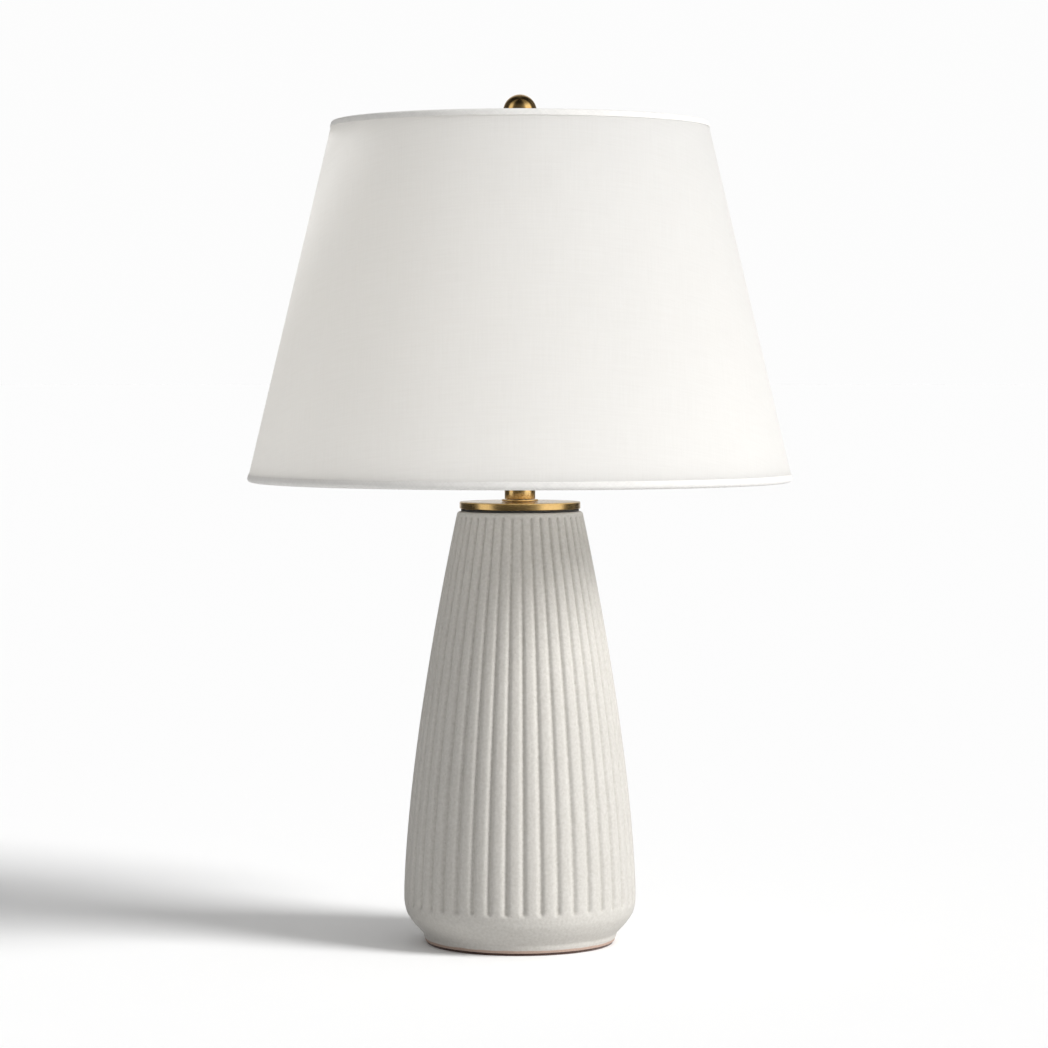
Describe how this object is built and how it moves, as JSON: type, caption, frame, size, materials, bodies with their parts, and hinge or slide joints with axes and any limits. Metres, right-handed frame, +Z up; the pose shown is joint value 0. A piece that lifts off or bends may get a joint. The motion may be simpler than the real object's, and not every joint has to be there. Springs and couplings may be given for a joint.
{
  "type": "table lamp with shade",
  "caption": "Table lamp with a tapered fluted stoneware body, a brass cap and neck, and a tapered white fabric shade on a harp with a ball finial.",
  "frame": {"origin": "centre of the felt's underside, where the lamp's axis meets the table", "axes": "+Z up along the lamp's axis, -Y towards the front with the switch knob, +Y towards the cord hole at the back, X across the harp"},
  "size_m": [0.4064, 0.4064, 0.632],
  "materials": {
    "glaze": "satin matte, finely speckled, warm off-white",
    "felt": "black wool felt",
    "rubber": "matte black",
    "steel": "bright zinc plated",
    "brass": "satin burnished brass",
    "linen": "plain woven white linen",
    "styrene": "white laminated shade liner",
    "fibre": "brown insulating fibre",
    "phenolic": "black moulded phenolic",
    "frosted_glass": "inside-frosted white",
    "aluminium": "drawn aluminium"
  },
  "bodies": {
    "root": {"felt_pad": "felt", "ceramic_body": "glaze", "base_cushion": "rubber", "base_washer": "steel", "base_nut": "steel", "lamp_pipe": "steel", "cord_bushing": "rubber", "cap_gasket": "rubber", "vase_cap": "brass", "neck_collar": "brass", "neck_tube": "brass", "harp_saddle": "steel", "saddle_nut": "steel", "socket_cap": "brass", "socket_set_screw": "steel", "socket_shell": "brass", "socket_liner": "fibre", "socket_body": "phenolic", "screw_shell": "brass", "centre_contact": "brass", "terminal_screw_hot": "brass", "terminal_screw_neutral": "steel"},
    "switch": {"switch_stem": "brass", "switch_knob": "phenolic"},
    "bulb": {"bulb_globe": "frosted_glass", "bulb_cap": "aluminium", "bulb_tip": "aluminium"},
    "harp": {"harp_wire": "brass"},
    "sleeve_left": {"harp_sleeve_left": "brass"},
    "sleeve_right": {"harp_sleeve_right": "brass"},
    "post": {"harp_post": "brass"},
    "shade": {"shade_fabric": "linen", "shade_liner": "styrene", "top_hem": "linen", "bottom_hem": "linen", "shade_top_ring": "steel", "shade_bottom_ring": "steel", "spider_hub": "steel", "spider_arm_1": "steel", "spider_arm_2": "steel", "spider_arm_3": "steel"},
    "finial_seat": {"finial_washer": "brass"},
    "finial": {"finial_ball": "brass", "finial_stem": "brass"}
  },
  "joints": [
    {"name": "switch_turn", "type": "hinge", "parent": "root", "child": "switch", "pos_m": [0, -0.0175, 0.391], "axis": [0, -1, 0], "continuous": true},
    {"name": "bulb_lift", "type": "slide", "parent": "root", "child": "bulb", "axis": [0, 0, 1], "range_m": [0, 0.03]},
    {"name": "harp_lift", "type": "slide", "parent": "root", "child": "harp", "axis": [0, 0, 1], "range_m": [0, 0.04]},
    {"name": "sleeve_left_slide", "type": "slide", "parent": "harp", "child": "sleeve_left", "axis": [0, 0, 1], "range_m": [0, 0.014]},
    {"name": "sleeve_right_slide", "type": "slide", "parent": "harp", "child": "sleeve_right", "axis": [0, 0, 1], "range_m": [0, 0.014]},
    {"name": "shade_turn", "type": "hinge", "parent": "harp", "child": "post", "pos_m": [0, 0, 0.6], "axis": [0, 0, 1], "continuous": true},
    {"name": "shade_lift", "type": "slide", "parent": "post", "child": "shade", "axis": [0, 0, 1], "range_m": [0, 0.28]},
    {"name": "finial_rise", "type": "slide", "parent": "shade", "child": "finial_seat", "axis": [0, 0, 1], "range_m": [0, 0.0085]},
    {"name": "finial_spin", "type": "hinge", "parent": "finial_seat", "child": "finial", "pos_m": [0, 0, 0.6195], "axis": [0, 0, 1], "range_deg": [0, 3240]}
  ],
  "couplings": [
    {"joint": "finial_rise", "follows": "finial_spin", "m_per_rad": 0.00014972}
  ]
}
